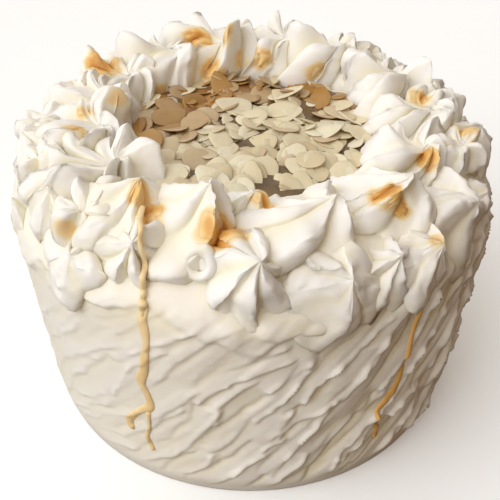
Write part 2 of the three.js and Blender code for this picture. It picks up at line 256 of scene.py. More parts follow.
# Runs of caramel down the side: photograph pixel and width at each bend.
LEFT_RUN = (
    (143, 294, 2.6), (143, 305, 3.8), (141, 320, 4.6), (144, 340, 4), (144, 356, 3.6), (143, 372, 4.2),
    (141, 383, 4.6), (148, 398, 3.6), (149, 409, 4.2), (137, 414, 4), (128, 420, 4), (131, 430, 5),
)
LEFT_BRANCH = ((147, 411, 3.4), (148, 430, 2.6), (146, 438, 2.4), (153, 451, 2.2))
RIGHT_RUN = (
    (424, 300, 3.4), (412, 340, 2.2), (401, 375, 2.6), (395, 390, 3.2), (385, 403, 3.4),
    (380, 417, 2.8), (376, 430, 2.6), (374, 439, 2.8),
)
BORDER_RUN = (
    (143, 204, 3), (141, 220, 2.4), (142, 240, 2), (145, 262, 2.2), (144, 280, 2.6), (143, 294, 2.6),
    (142.5, 304, 3.4), (142, 311, 3), (141.5, 317, 1.2),
)
# Each run with its tone, how much darker its caramel is drawn; the right run's 0.45 is painted shade, as
# that side lies in shadow.
SIDE_RUNS = ((LEFT_RUN, 0.03), (LEFT_BRANCH, 0), (RIGHT_RUN, 0.45))
RUN_THICKNESS = 1.3
RUN_END = 0.03
RUN_SUNK = 0.1
RUN_STEPS = 14
RUN_SIDES = 14
BORDER_STEPS = 12
BORDER_SIDES = 12
BORDER_TONE = 0.03
PATH_PASSES = 16
LIFT_REACH = 4
LIFT_PASSES = 6

# Flaked almonds in syrup, which stands higher at the left and the back.
BED_RADIUS = 60
BED_RISE = 1.5
BED_ROWS = 90
BED_COLUMNS = 280
SYRUP_LEVEL = 2.0
SYRUP_WAVES = (1.6, 15, 31)
SYRUP_LUMPS = (0.3, 6, 32)
SUNK = 0.6
FLAKE_COUNT = 264
FLAKE_ORDER = 83
FLAKE_LENGTH = 17.2
FLAKE_WIDTH = 12.8
FLAKE_THICKNESS = 0.7
FLAKE_SIDES = 22
FLAKE_REST = 0.32
FLAKE_BROKEN = (0.38, 0.6, 0.8, 1.0, 1.0, 1.0)
FLAKE_EDGE = ((0.5, -0.5), (0.94, -0.48), (1.0, -0.1), (1.0, 0.2), (0.94, 0.48), (0.5, 0.5))
STEEPEST = 0.7
SETTLE_STEPS = 60
SETTLED = 0.04

# Setting, in metres.
FLOOR_REACH = 30.0
FLOOR_LEVEL = -0.0002

# Sockets of a colour mix node, which share their names with those for other kinds of values.
MIX_FACTOR, MIX_FIRST, MIX_SECOND = 0, 6, 7
MIX_RESULT = 2


# Draws, noise and curves.

def draw(first, second):
    """A repeatable draw between 0 and 1 for a pair of whole numbers."""
    wave = math.sin(first * 127.1 + second * 311.7 + 74.7) * 43758.5453
    return wave - math.floor(wave)


def spread(first, second):
    """A repeatable draw between -1 and 1."""
    return 2 * draw(first, second) - 1


def lattice(x, y, z, seed):
    """A repeatable value between 0 and 1 for each whole-number place."""
    mixed = x * 374761393 + y * 668265263 + z * 1274126177 + seed * 974634541
    mixed = (mixed ^ (mixed >> 13)) * 1103515245
    mixed = mixed & 0x7FFFFFFF
    mixed = mixed ^ (mixed >> 15)
    return (mixed & 0xFFFFF) / 0xFFFFF


def noise(points, cell, seed):
    """Smooth noise between -1 and 1, with lumps about one cell across."""
    scaled = np.asarray(points) / cell
    base = np.floor(scaled).astype(np.int64)
    part = scaled - base
    part = part * part * part * (part * (part * 6 - 15) + 10)
    total = 0
    for corner in np.ndindex(2, 2, 2):
        weight = 1
        for axis in range(3):
            share = part[..., axis]
            weight = weight * (share if corner[axis] else 1 - share)
        places = [base[..., axis] + corner[axis] for axis in range(3)]
        total = total + weight * lattice(*places, seed)
    return 2 * total - 1


def lumps(points, depth, cell, seed):
    """Noise of a depth in millimetres."""
    return depth * noise(points, cell, seed)


def push(points, depth, cell, seed, apart):
    """A noise vector for each point. Its three parts are read some distance apart."""
    return depth * np.stack([noise(points + apart * axis, cell, seed) for axis in range(3)], -1)


def smoothstep(value, low, high):
    share = np.clip((value - low) / (high - low), 0, 1)
    return share * share * (3 - 2 * share)


def smooth_path(points, count):
    """A Catmull-Rom curve through points, sampled evenly in its parameter."""
    knots = np.asarray(points, float)
    padded = np.vstack([2 * knots[0] - knots[1], knots, 2 * knots[-1] - knots[-2]])
    place = np.linspace(0, len(knots) - 1, count)
    index = np.minimum(place.astype(int), len(knots) - 2)
    t = (place - index)[:, None]
    before, start, end, after = (padded[index + step] for step in range(4))
    bend = (2 * before - 5 * start + 4 * end - after) * t ** 2
    swing = (3 * start - before - 3 * end + after) * t ** 3
    return 0.5 * (2 * start + (end - before) * t + bend + swing)


# Angles and directions.

def circle(count):
    """Angles of places spread evenly round a circle."""
    return np.arange(count) * 2 * math.pi / count


def wrapped(angle):
    """The same angle within half a turn of 0."""
    return (angle + math.pi) % (2 * math.pi) - math.pi


def polar(radius, angle, height):
    """Points at a distance from the cake's axis, an angle round it and a height."""
    return np.stack(np.broadcast_arrays(radius * np.cos(angle), radius * np.sin(angle), height), -1)


def turned(x, y, angle):
    """x and y turned by an angle."""
    sine, cosine = math.sin(angle), math.cos(angle)
    return x * cosine - y * sine, x * sine + y * cosine


def unit(vectors):
    """Each vector brought to length 1."""
    return vectors / np.maximum(np.linalg.norm(vectors, axis=1), 1e-9)[:, None]


# Meshes.

def ring_faces(rows, columns):
    """Quads of a grid whose columns close into a ring and whose rows rise."""
    row, column = np.meshgrid(np.arange(rows - 1), np.arange(columns), indexing="ij")
    following = (column + 1) % columns
    low = row * columns
    high = low + columns
    quads = np.stack([low + column, low + following, high + following, high + column], -1)
    return quads.reshape(-1, 4).tolist()


def closed_rings(rings, foot, tip):
    """Points and faces of a closed form through rings, ended in the points foot and tip."""
    rows, columns = rings.shape[:2]
    points = np.vstack([rings.reshape(-1, 3), [foot], [tip]])
    faces = ring_faces(rows, columns)
    last = (rows - 1) * columns
    for column in range(columns):
        following = (column + 1) % columns
        faces.append([rows * columns, following, column])
        faces.append([rows * columns + 1, last + column, last + following])
    return points, faces


def capped_rings(rings):
    """A closed form through rings, ended in the middle of the first and of the last one."""
    return closed_rings(rings, rings[0].mean(0), rings[-1].mean(0))


def joined(meshes):
    """Several meshes with a value for each point as one."""
    points, faces, values = [], [], []
    start = 0
    for mesh_points, mesh_faces, mesh_values in meshes:
        points.append(mesh_points)
        values.append(mesh_values)
        faces.extend([[corner + start for corner in face] for face in mesh_faces])
        start += len(mesh_points)
    return np.vstack(points), faces, np.concatenate(values)


def all_points(meshes):
    """The points of all meshes of a dictionary."""
    return np.vstack([mesh[0] for mesh in meshes.values()])


def linked(name, data):
    """A new object in the scene."""
    thing = bpy.data.objects.new(name, data)
    bpy.context.scene.collection.objects.link(thing)
    return thing


def add_piece(name, points, faces, material, nodes, attributes):
    """A smooth piece of the cake in place of some nodes, with a value of each attribute for each point."""
    mesh = bpy.data.meshes.new(name)
    mesh.from_pydata((np.asarray(points) * MM).tolist(), [], faces)
    mesh.polygons.foreach_set("use_smooth", np.ones(len(faces), bool))
    for key, values in attributes.items():
        layer = mesh.attributes.new(key, "FLOAT", "POINT")
        layer.data.foreach_set("value", np.asarray(values, np.float32))
    mesh.materials.append(material)
    piece = linked(name, mesh)
    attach(piece, "root")
    if nodes:
        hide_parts(*nodes)


# Shader helpers.

def feed(tree, node, values):
    """Sets each named or numbered input of a node to a number or a colour, or links a socket to it."""
    for key, value in values.items():
        if isinstance(value, bpy.types.NodeSocket):
            tree.links.new(value, node.inputs[key])
        else:
            node.inputs[key].default_value = value


def add_node(tree, kind, values):
    node = tree.nodes.new("ShaderNode" + kind)
    feed(tree, node, values)
    return node


def new_material(name):
    material = bpy.data.materials.new(name)
    material.use_nodes = True
    return material, material.node_tree, material.node_tree.nodes["Principled BSDF"]


def noise_value(tree, scale, detail):
    """Noise that is fixed to the object, with about scale lumps in a metre."""
    place = tree.nodes.new("ShaderNodeTexCoord").outputs["Object"]
    values = {"Vector": place, "Scale": scale, "Detail": detail, "Roughness": 0.55}
    return add_node(tree, "TexNoise", values).outputs["Fac"]


def attribute_value(tree, name):
    node = tree.nodes.new("ShaderNodeAttribute")
    node.attribute_name = name
    return node.outputs["Fac"]


def ramp(tree, value, stops):
    """Colours along a value: stops are (place, colour)."""
    node = add_node(tree, "ValToRGB", {"Fac": value})
    elements = node.color_ramp.elements
    while len(elements) < len(stops):
        elements.new(0.5)
    for element, (place, colour) in zip(elements, stops):
        element.position = place
        element.color = (*colour, 1)
    return node.outputs["Color"]


def mapped(tree, value, old, new):
    """A value moved from one range to another and held within it."""
    values = {"Value": value, "From Min": old[0], "From Max": old[1], "To Min": new[0], "To Max": new[1]}
    return add_node(tree, "MapRange", values).outputs["Result"]


def blended(tree, factor, first, second, mode="MIX"):
    """A socket's colour mixed with a second colour, which may be a socket too, as may the factor."""
    node = tree.nodes.new("ShaderNodeMix")
    node.data_type = "RGBA"
    node.blend_type = mode
    colour = (*second, 1) if isinstance(second, tuple) else second
    feed(tree, node, {MIX_FACTOR: factor, MIX_FIRST: first, MIX_SECOND: colour})
    return node.outputs[MIX_RESULT]


def bump(tree, scale, detail, strength, distance, under=None):
    """Noise as fine relief, over other relief if there is some under it."""
    values = {"Height": noise_value(tree, scale, detail), "Strength": strength, "Distance": distance}
    if under is not None:
        values["Normal"] = under
    return add_node(tree, "Bump", values).outputs["Normal"]


# Materials.

def buttercream_material(name, depth, weight, low, high):
    """Frosting between two colours: light goes in by about depth, which softens the shade. Grooves, hollows
    between strokes and seams between pieces get painted shade, a yellowish tan tint.
    """
    material, tree, shader = new_material(name)
    cream = ramp(tree, noise_value(tree, 22, 2.0), ((0.3, low), (0.7, high)))
    # Painted shade: the groove value tints the cream towards a yellowish tan in grooves, hollows and seams.
    painted_hollow_shade = mapped(tree, attribute_value(tree, "groove"), (0.3, 1.0), (0.0, 0.6))
    cream = blended(tree, painted_hollow_shade, cream, (0.92, 0.86, 0.63))
    caramel = attribute_value(tree, "caramel")
    stain = ramp(tree, caramel, (
        (0.0, (0.92, 0.87, 0.74)), (0.25, (0.90, 0.75, 0.47)),
        (0.5, (0.84, 0.52, 0.18)), (1.0, (0.68, 0.31, 0.08)),
    ))
    amount = mapped(tree, caramel, (0.02, 0.25), (0.0, 1.0))
    coarse = bump(tree, 260, 3.0, 0.35, 0.0005)
    feed(tree, shader, {
        "Base Color": blended(tree, amount, cream, stain),
        "Roughness": mapped(tree, caramel, (0.1, 0.6), (0.5, 0.32)),
        "Subsurface Weight": weight,
        "Subsurface Radius": (1.0, 0.97, 0.88),
        "Subsurface Scale": depth,
        "Specular IOR Level": 0.4,
        "Normal": bump(tree, 1100, 2.0, 0.2, 0.0002, coarse),
    })
    return material


def caramel_material():
    """Thick caramel, darker where it is deep; the run on the right side is also darkened as painted shade.
    """
    material, tree, shader = new_material("caramel")
    colour = ramp(tree, attribute_value(tree, "depth"), (
        (0.0, (0.96, 0.79, 0.50)), (0.25, (0.90, 0.61, 0.26)),
        (0.55, (0.76, 0.41, 0.11)), (1.0, (0.56, 0.23, 0.045)),
    ))
    streak = noise_value(tree, 180, 2.0)
    streaked = mapped(tree, streak, (0.35, 0.7), (0.0, 0.3))
    feed(tree, shader, {
        "Base Color": blended(tree, streaked, colour, (0.85, 0.55, 0.18)),
        "Roughness": mapped(tree, streak, (0.3, 0.7), (0.25, 0.38)),
        "Subsurface Weight": 0.1,
        "Subsurface Radius": (1.0, 0.5, 0.15),
        "Subsurface Scale": 0.003,
        "Specular IOR Level": 0.3,
    })
    return material


def almond_material():
    """Ivory slices with brown skin at the rim, some of them soaked in syrup; every flake's rim also gets
    painted shade, and the soaked darkening is partly painted shade.
    """
    material, tree, shader = new_material("almond")
    rim = attribute_value(tree, "rim")
    glaze_and_shade = attribute_value(tree, "glaze_and_shade")
    ivory = ramp(tree, attribute_value(tree, "tone"), (
        (0.0, (0.67, 0.58, 0.38)), (0.5, (0.77, 0.70, 0.50)), (1.0, (0.85, 0.81, 0.64)),
    ))
    grain = mapped(tree, noise_value(tree, 240, 4.0), (0.45, 0.75), (0.0, 0.35))
    mottled = blended(tree, grain, ivory, (0.64, 0.56, 0.35))
    # Brown at the rim: painted shade on the edge of every flake, and real skin on some.
    skinned_and_edge_shaded = blended(tree, mapped(tree, rim, (0.45, 1.0), (0.0, 0.8)), mottled, (0.30, 0.14, 0.05))
    feed(tree, shader, {
        # Soaked flakes are darkened: real caramel, and at the left and the back partly painted shade.
        "Base Color": blended(tree, glaze_and_shade, skinned_and_edge_shaded, (0.52, 0.3, 0.1), "MULTIPLY"),
        "Roughness": mapped(tree, glaze_and_shade, (0.0, 0.8), (0.5, 0.16)),
        "Subsurface Weight": 0.12,
        "Subsurface Radius": (1.0, 0.7, 0.4),
        "Subsurface Scale": 0.0015,
        "Normal": bump(tree, 700, 3.0, 0.3, 0.0002),
    })
    return material


def syrup_material():
    """Glossy syrup under the almonds, amber where it stands high; elsewhere it is dark brown, which also
    paints the shade in the gaps between the flakes.
    """
    material, tree, shader = new_material("almond_syrup")
    cloud = noise_value(tree, 90, 3.0)
    # Dark brown syrup: partly real, partly painted shade for the gaps between the flakes.
    syrup_and_gap_shade = ramp(tree, cloud, ((0.3, (0.09, 0.055, 0.025)), (0.7, (0.21, 0.14, 0.065))))
    amber = ramp(tree, noise_value(tree, 60, 2.0), (
        (0.36, (0.10, 0.042, 0.012)), (0.52, (0.26, 0.12, 0.035)), (0.66, (0.50, 0.25, 0.075)),
    ))
    feed(tree, shader, {
        "Base Color": blended(tree, attribute_value(tree, "pool"), syrup_and_gap_shade, amber),
        "Roughness": mapped(tree, cloud, (0.3, 0.7), (0.08, 0.25)),
        "Normal": bump(tree, 300, 2.0, 0.35, 0.0005),
    })
    return material


def floor_material():
    """Pale ground that glows a little, so that it stays almost white."""
    material, tree, shader = new_material("pale_floor")
    cloud = noise_value(tree, 3, 2.0)
    feed(tree, shader, {
        "Base Color": ramp(tree, cloud, ((0.3, (0.90, 0.94, 0.98)), (0.7, (0.93, 0.97, 1.0)))),
        "Roughness": 0.7,
        "Emission Color": (1, 1, 1, 1),
        "Emission Strength": 0.12,
    })
    return material


SPREAD_CREAM = buttercream_material(
    "spread_buttercream", 0.004, 0.35, (0.94, 0.9, 0.82), (0.96, 0.935, 0.875))
PIPED_CREAM = buttercream_material(
    "piped_buttercream", 0.003, 0.4, (0.91, 0.9, 0.86), (0.945, 0.945, 0.925))
CARAMEL = caramel_material()
ALMOND = almond_material()
SYRUP = syrup_material()


# Camera mathematics, used to put caramel where the photograph shows it.

def project(points):
    """Pixel and depth of each point as the camera sees it."""
    sine, cosine = math.sin(CAMERA_PITCH), math.cos(CAMERA_PITCH)
    x = points[:, 0]
    y = points[:, 1] + CAMERA_BACK
    z = points[:, 2] - CAMERA_HEIGHT
    depth = y * cosine - z * sine
    height = y * sine + z * cosine
    half = FRAME_SIDE / 2
    return half + FOCAL * x / depth, half - FOCAL * height / depth, depth


def visible_place(points, seen, pixel):
    """The point nearest to the camera among those that the camera sees near a pixel."""
    across, down, depth = seen
    apart = np.hypot(across - pixel[0], down - pixel[1])
    near = apart < max(PIXEL_REACH, apart.min() + 0.5)
    return points[near][np.argmin(depth[near])]


# Frosted body.

def stroke_strength(angle):
    """How strongly the strokes show at an angle round the cake."""
    from_left = np.abs(wrapped(angle - SMOOTH_ANGLE))
    return SMOOTH_STRENGTH + ROUGH_GAIN * smoothstep(from_left, SMOOTH_REACH, ROUGH_REACH)


def along_stroke(side, up, slant):
    """Distance along a stroke and down across it, for a distance sideways and up."""
    sine, cosine = math.sin(slant), math.cos(slant)
    return side * cosine + up * sine, side * sine - up * cosine


def stroke_level(share, place, index, row, seed):
    """Height of a stroke over its width: a tilted plane with a torn crest on its lower right edge."""
    torn = np.clip(0.45 + noise(place, LIP_TEAR, seed + 29), 0, 1.3)
    lip = STROKE_LIP * np.exp(-((LIP_PLACE - share) / LIP_WIDTH) ** 2) * torn
    plane = 0.5 * STROKE_RISE * share * (0.5 + 0.6 * draw(index, 100 + row)) + lip
    return plane + STRAY_LEVEL * spread(index, 110 + row)


def stamp_stroke(relief, angle, height, points, index, row):
    """One pass of the spatula, laid over those before it."""
    centre_angle = 2 * math.pi * (index + STRAY_ROUND * spread(index, 40 + row)) / STROKES_ROUND
    centre_height = STROKE_ROWS[row] + STRAY_UP * spread(index, 50 + row)
    along_side = wrapped(angle - centre_angle) * SIDE_RADIUS
    rise = height - centre_height
    near = (np.abs(along_side) < STROKE_LENGTH) & (np.abs(rise) < STROKE_LENGTH)
    slant = STROKE_ANGLE - SLANT_SWAY * math.sin(2 * centre_angle) + STRAY_SLANT * spread(index, 60 + row)
    forward, lower = along_stroke(along_side[near], rise[near], slant)
    place = points[near]
    seed = 1000 + 50 * index + row
    lower = lower + lumps(place, *STROKE_WAVE, seed) + lumps(place, *STROKE_RIPPLE, seed + 7)
    lower = lower + STROKE_BOW * spread(index, 70 + row) * (forward / STROKE_BOW_REACH) ** 2
    forward = forward + lumps(place, *STROKE_END_WAVE, seed + 13)
    half_length = 0.5 * STROKE_LENGTH * (1 + STRAY_LENGTH * spread(index, 80 + row))
    half_width = 0.5 * STROKE_WIDTH * (1 + STRAY_WIDTH * spread(index, 90 + row))
    mask = smoothstep(half_width - np.abs(lower), -STROKE_EDGE, STROKE_EDGE)
    mask = mask * np.clip((half_length - np.abs(forward)) / STROKE_END + 0.5, 0, 1)
    level = stroke_level(lower / half_width, place, index, row, seed)
    relief[near] = relief[near] * (1 - mask) + level * mask


def stroke_relief(angle, height, points):
    """Strokes in a mixed order over a lumpy side, with fine lines dragged along them."""
    relief = sum(lumps(points, *layer) for layer in BODY_LUMPS)
    count = STROKES_ROUND * len(STROKE_ROWS)
    for step in range(count):
        row, index = divmod((step * STROKE_ORDER) % count, STROKES_ROUND)
        stamp_stroke(relief, angle, height, points, index, row)
    forward, lower = along_stroke(angle * SIDE_RADIUS, height, STROKE_ANGLE)
    dragged = np.stack([forward / DRAG_LENGTH, lower, relief], -1)
    relief = relief + lumps(dragged, DRAG_DEPTH, DRAG_CELL, 12)
    return relief * (smoothstep(height, *FOOT_FADE) * stroke_strength(angle))


def side_relief(angle, height, points):
    """Relief of the side: the strokes, and the shelf over them under the border."""
    edge = height - SHELF_LEVEL
    for layer in SHELF_EDGE_LUMPS:
        edge = edge - lumps(points, *layer)
    covered = smoothstep(edge, 0, 6)
    shelf = SHELF_DEPTH * smoothstep(edge, -1, 5) + lumps(points, *SHELF_LUMPS) * covered
    return stroke_relief(angle, height, points) * (1 - SHELF_COVER * covered) + shelf


def body_rings():
    """The frosted body as a grid of rings: even rows up the side, and rows over the crown."""
    outline = smooth_path(BODY_OUTLINE, OUTLINE_STEPS)
    shoulder = np.argmax(outline[:, 1] >= SIDE_TOP)
    side_levels = np.linspace(0, SIDE_TOP, SIDE_ROWS)
    side_radii = np.interp(side_levels, outline[:shoulder + 1, 1], outline[:shoulder + 1, 0])
    crown = outline[np.linspace(shoulder, len(outline) - 1, CROWN_ROWS + 1).astype(int)[1:]]
    radius = np.concatenate([side_radii, crown[:, 0]])[:, None]
    levels = np.concatenate([side_levels, crown[:, 1]])
    angle, height = np.meshgrid(circle(BODY_COLUMNS), levels)
    relief = side_relief(angle, height, polar(radius, angle, height))
    return polar(radius + relief * (1 - smoothstep(height, *CROWN_FADE)), angle, height)


def body_mesh(rings):
    """Points, faces and groove values of the body, which paint shade into its colour; the hollows between
    strokes count as grooves.
    """
    points, faces = closed_rings(rings, (0, 0, 0), (0, 0, CAKE_HEIGHT))
    reach = np.hypot(rings[..., 0], rings[..., 1])
    sunk = reach.mean(axis=1, keepdims=True) - reach
    # Painted shade, deeper the more a point lies sunk between the strokes.
    painted_hollow_shade = smoothstep(sunk, *HOLLOW_SHADE_RANGE)
    return points, faces, np.append(painted_hollow_shade.reshape(-1), (0, 0))


# Piped dollops.

def lobe_fall(place, steep_first, bulge):
    """0 on a lobe's crest and 1 in its groove, with one gentle and one steep side."""
    share = place - np.floor(place)
    share = 1 - share if steep_first else share
    gentle = np.clip(share / GENTLE_SHARE, 0, 1) ** bulge
    steep = 1 - np.clip((share - GENTLE_SHARE) / (1 - GENTLE_SHARE), 0, 1) ** STEEP_CURVE
    return np.where(share < GENTLE_SHARE, gentle, steep)


def lobe_values(place, lobes, seed, low, high):
    """A drawn value for each crest, running smoothly from crest to crest."""
    values = np.array([low + (high - low) * draw(seed, lobe) for lobe in range(lobes)])
    lobe = np.floor(place).astype(int)
    share = smoothstep(place - lobe, 0, 1)
    return values[lobe % lobes] * (1 - share) + values[(lobe + 1) % lobes] * share


def lobe_turn(place, lobes, seed):
    """Angle round the dollop for each place, with lobes of unequal width."""
    widths = np.array([1 + LOBE_SPREAD * spread(seed + 40, lobe) for lobe in range(lobes)])
    edges = np.concatenate([[0], np.cumsum(widths)])
    return np.interp(place, np.arange(lobes + 1), edges) * 2 * math.pi / edges[-1]


def groove_depth(shape, place, level, fall):
    """How deep each place lies between the crests: less at the rim, and not the same in each groove."""
    draws = np.array([0.55 + 0.75 * draw(shape["seed"] + 20, lobe) for lobe in range(shape["lobes"])])
    rim = shape["rim_depth"]
    return (draws[np.floor(place).astype(int)] * fall) * (rim + (1 - rim) * smoothstep(level, 0.22, 0.6))


def dollop_outline(shape, place, level, turn, groove):
    """Share of the size at each place: unequal lobes, a tail, grooves and pleats."""
    uneven = shape["uneven"]
    reach = lobe_values(place, shape["lobes"], shape["seed"], 1 - uneven, 1 + 0.4 * uneven)
    tail = 1 + shape["tail"] * np.clip(np.cos(turn - shape["tail_turn"]), -0.4, 1)
    short = 1 - shape["upper_short"] * np.clip(-np.cos(turn), 0, 1)
    pleat = shape["pleat"] * np.abs(np.sin(math.pi * (3 * place + 0.8 * level)))
    return reach * tail * short - shape["depth"] * groove - pleat


def petal_share(shape, place, level, fall):
    """How far each crest stands out as a petal."""
    petal = shape["petal"] * lobe_values(place, shape["lobes"], shape["seed"] + 70, 0.1, 1.0)
    petal = petal * (1 - fall ** shape["petal_round"]) ** 2
    return petal * np.exp(-((level - shape["petal_level"]) / 0.15) ** 2)


def dollop_twist(shape, level, turn, fall):
    """Angle to which each place is turned: the twist, a wander and the crests that lean over."""
    lean_over = shape["overhang"] * (1 - fall) ** 3 * smoothstep(level, 0.1, 0.4)
    lean_over = lean_over * (1 - smoothstep(level, 0.6, 0.85))
    lean_over = lean_over * (1 if shape["steep_first"] else -1)
    wander = noise(polar(2.2, turn, 2.6 * level + shape["seed"]), 1, 23)
    return turn + math.radians(shape["twist"]) * level ** 1.2 + 0.3 * wander * level - lean_over


def dollop_rings(shape):
    """Rings of one dollop in its own frame, where its point looks along +Z, and how deep each place lies."""
    profile = smooth_path(DOLLOP_PROFILE, DOLLOP_ROWS + 1)[:-1]
    lobes, seed, size = shape["lobes"], shape["seed"], shape["size"]
    place = np.arange(lobes * LOBE_COLUMNS) / LOBE_COLUMNS
    level = np.linspace(0, 1, DOLLOP_ROWS + 1)[:-1, None]
    fall = lobe_fall(place, shape["steep_first"], shape["bulge"])
    groove = groove_depth(shape, place, level, fall)
    petal = petal_share(shape, place, level, fall)
    turn = shape["phase"] + lobe_turn(place, lobes, seed)
    radius = size * (profile[:, :1] + 0.22 * petal) * dollop_outline(shape, place, level, turn, groove)
    turn = dollop_twist(shape, level, turn, fall)
    x = radius * np.cos(turn) + shape["lean_x"] * level ** 1.5
    y = radius * np.sin(turn) + shape["lean_y"] * level ** 1.5
    lift = lobe_values(place, lobes, seed + 60, -0.16, 0.2) * np.sin(math.pi * level) + petal
    lift = lift - shape["sink"] * smoothstep(level, 0.6, 1.0)
    z = shape["height"] * (profile[:, 1:] + lift) - shape["droop"] * np.clip(x / size, 0, 2) ** 2
    rings = np.stack([x, y, z], -1)
    shifted = rings + seed * 37.0
    crest = np.clip(1 - 5 * groove, 0, 1)[..., None]
    shiver = (0.25 + 0.75 * crest) * push(shifted, *CREST_SHIVER)
    return rings + push(shifted, *DOLLOP_SWAY) + shiver, groove


def place_points(points, angle, radius, height, tilt):
    """Moves points out from the axis, up, and leans them outwards."""
    lean = math.radians(tilt)
    x = points[..., 0] * math.cos(lean) + points[..., 2] * math.sin(lean) + radius
    z = points[..., 2] * math.cos(lean) - points[..., 0] * math.sin(lean) + height
    return np.stack([*turned(x, points[..., 1], math.radians(angle)), z], -1)


def back_angle(front, count, index):
    """Angle of a dollop of the back, where they share the round that the front ones leave."""
    step = (360 + front[0][0] - front[-1][0]) / (count - len(front) + 1)
    return front[-1][0] + step * (index - len(front) + 1)


def swirl_peak(index):
    """Angle and radius of a swirl's point and its height: set at the front, drawn elsewhere."""
    if index < len(FRONT_SWIRLS):
        return FRONT_SWIRLS[index]
    angle = back_angle(FRONT_SWIRLS, SWIRL_COUNT, index) + 2.5 * spread(index, 17)
    turn = math.radians(angle)
    radius = SWIRL_RING_RADIUS + 8 * math.cos(turn) + 1.5 * spread(index, 18)
    height = SWIRL_HEIGHT * (1 + 0.13 * spread(index, 12) + 0.42 * max(0, math.sin(turn)) ** 1.5)
    return angle, radius, height


def swirl_shape(index):
    """Shape and place of a swirl whose point is pulled to the right of its middle."""
    in_front = index < len(FRONT_SWIRLS)
    peak_angle, peak_radius, height = swirl_peak(index)
    across = math.cos(math.radians(peak_angle))
    pull = SWIRL_PULL * (1 - 0.4 * max(0, across) ** 2 + 0.75 * min(0, across))
    x = peak_radius * across - pull
    y = peak_radius * math.sin(math.radians(peak_angle))
    turn = math.atan2(y, x)
    shape = {
        **(FRONT_SWIRL_FORM if in_front else BACK_SWIRL_FORM),
        "seed": 100 + index,
        "lobes": (SWIRL_LOBES if in_front else BACK_LOBES)[index % 3],
        "size": SWIRL_SIZE * (1 + 0.1 * spread(index, 11)),
        "height": height,
        "twist": SWIRL_TWIST * (1 + 0.4 * spread(index, 13)),
        "phase": 2 * math.pi * draw(index, 14),
        "tail": 0.2 - 0.12 * max(0, across),
        "tail_turn": math.radians(180 + 25 * spread(index, 20)) - turn,
        "lean_x": pull * math.cos(turn),
        "lean_y": -pull * math.sin(turn),
    }
    tilt = SWIRL_TILT + 5 * spread(index, 19)
    return shape, (math.degrees(turn), math.hypot(x, y), CAKE_HEIGHT, tilt)


def star_peak(index):
    """A star's angle, pull to the right, drop, lobes and size: set at the front, drawn elsewhere."""
    if index < len(FRONT_STARS):
        return FRONT_STARS[index]
    angle = back_angle(FRONT_STARS, STAR_COUNT, index) + 2 * spread(index, 27)
    lobes = STAR_LOBES[index % len(STAR_LOBES)]
    size = STAR_SIZE * (1 + 0.12 * spread(index, 21))
    return angle, STAR_PULL + 3 * spread(index, 26), 2 * spread(index, 28), lobes, size


def star_shape(index):
    """Shape and place of a star on the shoulder, with short petals above its point and long ones below."""
    peak_angle, pull, drop, lobes, size = star_peak(index)
    turn = math.radians(peak_angle)
    x = STAR_RING_RADIUS * math.cos(turn) - pull * abs(math.sin(turn))
    y = STAR_RING_RADIUS * math.sin(turn)
    behind = max(0, math.sin(turn))
    shape = {
        **STAR_FORM,
        "seed": 200 + index,
        "lobes": lobes,
        "size": size,
        "height": STAR_HEIGHT * (1 + 0.1 * spread(index, 22)),
        "twist": STAR_TWIST * spread(index, 23),
        "phase": 2 * math.pi * draw(index, 24),
        "tail": 0.14 + 0.012 * pull,
        "tail_turn": math.radians(-70 * math.sin(-turn) + 20 * spread(index, 30)),
        "lean_x": pull * math.cos(turn) * abs(math.sin(turn)) - STAR_RAISE,
        "lean_y": -pull * math.sin(turn),
    }
    height = STAR_RING_HEIGHT + 3 * behind - drop
    tilt = STAR_TILT + 6 * spread(index, 29)
    radius = STAR_RING_RADIUS - 4 * behind + 2.5 * min(0, math.cos(turn))
    return shape, (math.degrees(math.atan2(y, x)), radius, height, tilt)


def ruffle_shape(index):
    """The low ruffle on the right of a star, with fewer and rounder petals."""
    shape, where = star_shape(index)
    shape.update({
        "seed": 300 + index,
        "lobes": RUFFLE_LOBES,
        "depth": RUFFLE_DEPTH,
        "size": RUFFLE_SIZE * (1 + 0.2 * spread(index, 72)),
        "height": RUFFLE_HEIGHT * (1 + 0.2 * spread(index, 73)),
        "phase": 2 * math.pi * draw(index, 74),
        "twist": RUFFLE_TWIST * spread(index, 75),
        "lean_x": -RUFFLE_RAISE,
        "lean_y": 8 * draw(index, 76),
    })
    angle = where[0] + 0.5 * 360 / STAR_COUNT + 3 * spread(index, 71)
    return shape, (angle, RUFFLE_RING_RADIUS, RUFFLE_RING_HEIGHT + 3 * spread(index, 77), RUFFLE_TILT)


def frill_shape(index):
    """The ruffle on the right of a swirl, outside it."""
    shape, where = swirl_shape(index)
    shape.update({
        "seed": 400 + index,
        "lobes": FRILL_LOBES,
        "size": FRILL_SIZE * (1 + 0.2 * spread(index, 82)),
        "height": FRILL_HEIGHT * (1 + 0.25 * spread(index, 83)),
        "phase": 2 * math.pi * draw(index, 84),
        "twist": FRILL_TWIST * spread(index, 85),
        "lean_x": 4 * spread(index, 86),
        "lean_y": 4 * spread(index, 87),
    })
    angle = where[0] + 0.5 * 360 / SWIRL_COUNT + 3 * spread(index, 81)
    return shape, (angle, FRILL_RING_RADIUS + 2 * spread(index, 88), FRILL_RING_HEIGHT, FRILL_TILT)


def gap_shape():
    """The small dollop that closes the gap between two front swirls."""
    shape = swirl_shape(GAP_SWIRL)[0]
    shape.update({
        "seed": 450,
        "lobes": GAP_LOBES,
        "size": GAP_SIZE,
        "height": GAP_HEIGHT,
        "petal": GAP_PETAL,
        "lean_x": 0,
        "lean_y": GAP_LEAN,
    })
    return shape, (GAP_ANGLE, GAP_RADIUS, CAKE_HEIGHT, SWIRL_TILT)


